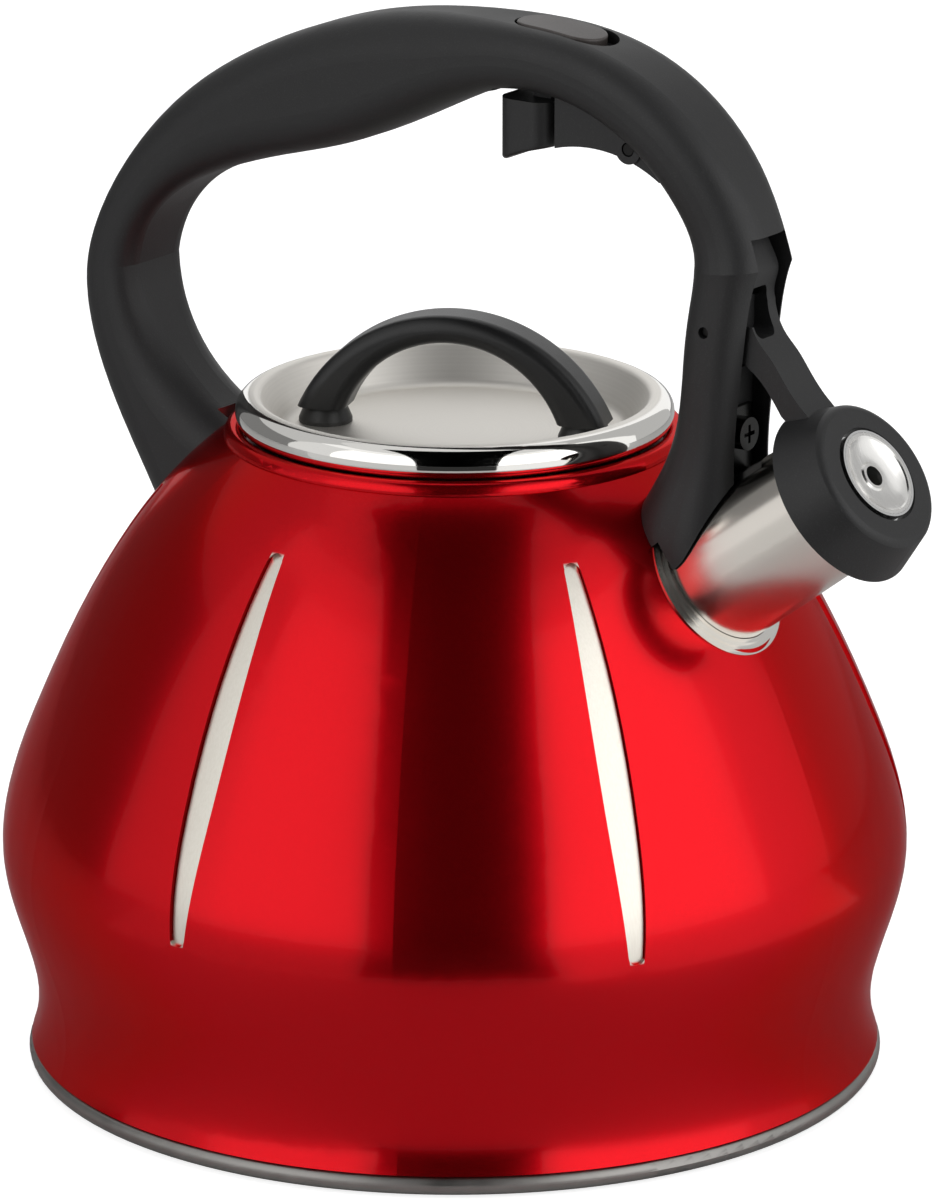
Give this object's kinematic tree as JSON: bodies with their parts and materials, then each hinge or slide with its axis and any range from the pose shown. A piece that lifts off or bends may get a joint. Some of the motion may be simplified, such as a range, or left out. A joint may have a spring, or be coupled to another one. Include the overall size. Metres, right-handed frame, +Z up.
{
  "type": "stovetop whistling kettle",
  "caption": "Red stovetop whistling kettle with embossed flutes, dished steel lid, black arch handle with finger trigger, and a sprung spout cover that carries the whistle",
  "frame": {"origin": "centre of the base underside on the kettle axis", "axes": "+Z up along the kettle axis, +X toward the spout, handle in the XZ plane"},
  "size_m": [0.2186, 0.2004, 0.2373],
  "materials": {
    "red_enamel": "high gloss metallic red lacquer",
    "polished_steel": "mirror polished",
    "satin_steel": "satin",
    "aluminium_core": "plain rolled",
    "black_nylon": "matte with fine grain",
    "grey_button": "satin grey",
    "grey_collar": "satin grey"
  },
  "bodies": {
    "kettle": {"body_shell": "red_enamel", "bottom_pan": "satin_steel", "base_core_disc": "aluminium_core", "base_cap": "satin_steel", "spout_tube": "satin_steel", "spout_collar": "polished_steel", "front_bracket": "polished_steel", "rear_bracket": "satin_steel", "front_handle_screw": "polished_steel", "rear_handle_screw": "polished_steel", "handle": "black_nylon", "trigger_pin": "satin_steel", "lever_pin": "satin_steel", "lever_spring": "satin_steel"},
    "trigger_body": {"trigger": "black_nylon"},
    "spout_cover": {"spout_cap_lever": "black_nylon", "whistle_front_plate": "polished_steel", "whistle_cup": "polished_steel", "whistle_back_plate": "satin_steel", "whistle_retaining_ring": "black_nylon"},
    "lock_body": {"lock_slider": "grey_button", "lock_clip": "satin_steel"},
    "lid": {"lid_shell": "polished_steel", "lid_skirt": "satin_steel", "lid_knob": "black_nylon", "knob_collars": "grey_collar", "knob_washers": "satin_steel", "knob_screws": "polished_steel"}
  },
  "joints": [
    {"name": "trigger_hinge", "type": "hinge", "parent": "kettle", "child": "trigger_body", "pos_m": [0.0506, 0, 0.2141], "axis": [0, 1, 0], "range_deg": [0, 5]},
    {"name": "cover_hinge", "type": "hinge", "parent": "kettle", "child": "spout_cover", "pos_m": [0.0721, 0, 0.178], "axis": [0, -1, 0], "range_deg": [0, 16]},
    {"name": "lock_slide", "type": "slide", "parent": "kettle", "child": "lock_body", "axis": [0.9962, 0, -0.0872], "range_m": [0, 0.0025]},
    {"name": "lid_lift", "type": "slide", "parent": "kettle", "child": "lid", "axis": [0, 0, 1], "range_m": [0, 0.014]}
  ],
  "couplings": [
    {"joint": "cover_hinge", "follows": "trigger_hinge", "ratio": 3.2}
  ]
}
